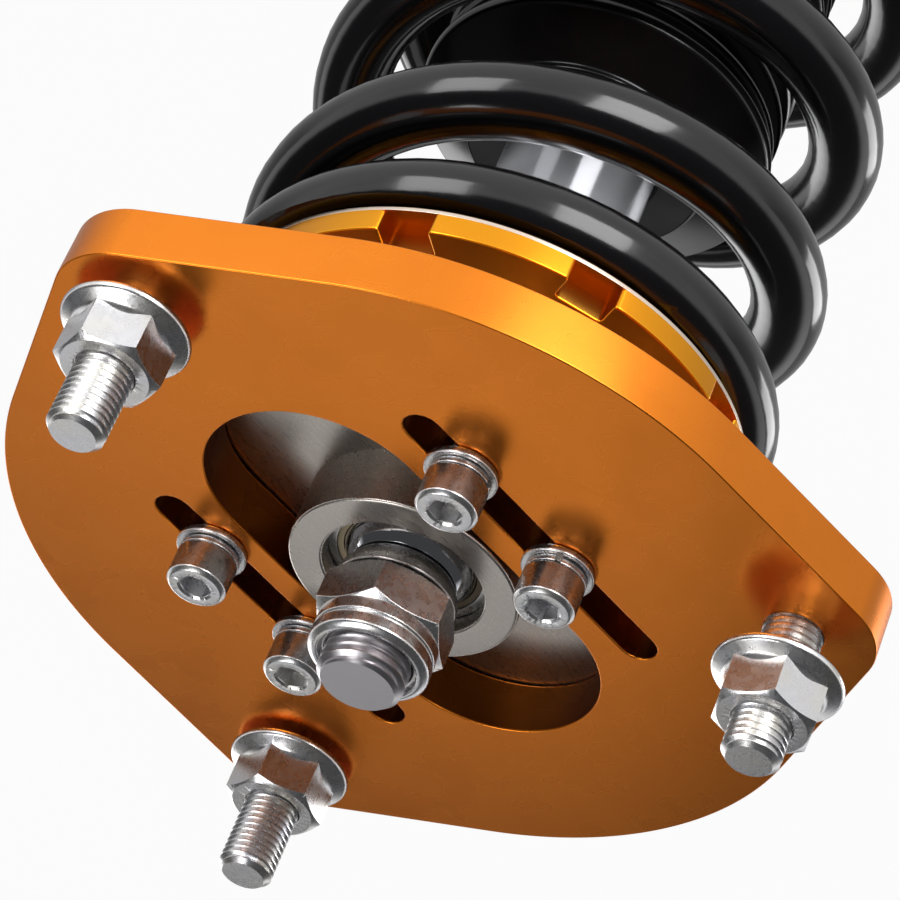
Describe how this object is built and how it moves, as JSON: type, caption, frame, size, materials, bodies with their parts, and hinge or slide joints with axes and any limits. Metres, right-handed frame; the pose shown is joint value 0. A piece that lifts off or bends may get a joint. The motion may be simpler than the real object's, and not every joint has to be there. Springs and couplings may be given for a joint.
{
  "type": "coilover strut",
  "caption": "Height-adjustable front coilover strut with a slotted camber plate, spherical top bearing, coil spring, dust boot and knuckle bracket.",
  "frame": {"origin": "middle of the camber plate's top face, on the strut's axis", "axes": "+Z along the strut towards the car's body, +X inboard along the camber slots"},
  "size_m": [0.135, 0.1156, 0.4378],
  "materials": {
    "anodised": "satin orange-gold anodised",
    "zinc": "bright zinc plated",
    "steel": "machined",
    "ball": "polished",
    "rod_chrome": "hard chrome",
    "spring_black": "gloss powder coat",
    "bracket_black": "satin powder coat",
    "boot_rubber": "glossy moulded",
    "seal_rubber": "moulded",
    "foam": "microcellular urethane",
    "liner": "woven low-friction liner",
    "nylon": "moulded",
    "plastic_black": "moulded",
    "tube": "zinc plated thread"
  },
  "bodies": {
    "top_mount": {"camber_plate": "anodised", "stud_1": "zinc", "stud_2": "zinc", "stud_3": "zinc", "stud_nut_1": "zinc", "stud_nut_2": "zinc", "stud_nut_3": "zinc"},
    "carrier": {"slide_carrier": "steel", "bearing_race": "steel", "retaining_ring": "steel", "clamp_washer_1": "zinc", "clamp_washer_2": "zinc", "clamp_washer_3": "zinc", "clamp_washer_4": "zinc", "spring_washer_1": "zinc", "spring_washer_2": "zinc", "spring_washer_3": "zinc", "spring_washer_4": "zinc", "clamp_screw_1": "zinc", "clamp_screw_2": "zinc", "clamp_screw_3": "zinc", "clamp_screw_4": "zinc"},
    "bearing_cross": {"bearing_liner": "liner"},
    "bearing_core": {"bearing_ball": "ball"},
    "rod_stack": {"upper_spacer": "steel", "lower_spacer": "steel", "rod_lock_nut": "zinc", "rod_nut_insert": "nylon", "spring_seat": "anodised", "piston_rod": "rod_chrome", "bump_stop": "foam", "dust_boot": "boot_rubber", "rebound_shims": "steel", "piston": "steel", "piston_band": "liner", "compression_shims": "steel", "piston_nut": "zinc"},
    "damper_body": {"damper_tube": "tube", "gland_nut": "bracket_black", "rod_seal": "seal_rubber", "rod_guide": "steel", "end_plug": "steel"},
    "gas_piston": {"floating_piston": "steel", "floating_seal": "seal_rubber"},
    "perch_slider": {"perch_washer": "plastic_black", "coil_spring": "spring_black"},
    "perch_rings": {"perch_ring": "anodised", "perch_lock_ring": "anodised"},
    "bracket": {"knuckle_bracket": "bracket_black"},
    "bracket_ring": {"bracket_lock_ring": "anodised"}
  },
  "joints": [
    {"name": "camber_slide", "type": "slide", "parent": "top_mount", "child": "carrier", "axis": [1, 0, 0], "range_m": [-0.008, 0.0165]},
    {"name": "bearing_tilt_x", "type": "hinge", "parent": "carrier", "child": "bearing_cross", "pos_m": [0, 0, -0.007], "axis": [1, 0, 0], "range_deg": [-8, 8]},
    {"name": "bearing_tilt_y", "type": "hinge", "parent": "bearing_cross", "child": "bearing_core", "pos_m": [0, 0, -0.007], "axis": [0, 1, 0], "range_deg": [-8, 8]},
    {"name": "steer_swivel", "type": "hinge", "parent": "bearing_core", "child": "rod_stack", "pos_m": [0, 0, -0.007], "axis": [0, 0, 1], "continuous": true},
    {"name": "damper_stroke", "type": "slide", "parent": "rod_stack", "child": "damper_body", "axis": [0, 0, 1], "range_m": [0, 0.07], "stiffness_N_per_m": 60000, "deforming": ["coil_spring", "dust_boot"]},
    {"name": "gas_piston_slide", "type": "slide", "parent": "damper_body", "child": "gas_piston", "axis": [0, 0, -1], "range_m": [0, 0.01611]},
    {"name": "perch_height", "type": "slide", "parent": "damper_body", "child": "perch_slider", "axis": [0, 0, 1], "range_m": [-0.025, 0]},
    {"name": "perch_turn", "type": "hinge", "parent": "perch_slider", "child": "perch_rings", "pos_m": [0, 0, -0.2131], "axis": [0, 0, 1], "range_deg": [-4501, 0]},
    {"name": "bracket_height", "type": "slide", "parent": "damper_body", "child": "bracket", "axis": [0, 0, 1], "range_m": [-0.02, 0.03]},
    {"name": "bracket_ring_turn", "type": "hinge", "parent": "bracket", "child": "bracket_ring", "pos_m": [0, 0, -0.3167], "axis": [0, 0, 1], "range_deg": [-3601, 5401]}
  ],
  "couplings": [
    {"joint": "gas_piston_slide", "follows": "damper_stroke", "ratio": 0.22873},
    {"joint": "perch_turn", "follows": "perch_height", "rad_per_m": 3141.6},
    {"joint": "bracket_ring_turn", "follows": "bracket_height", "rad_per_m": 3141.6}
  ]
}
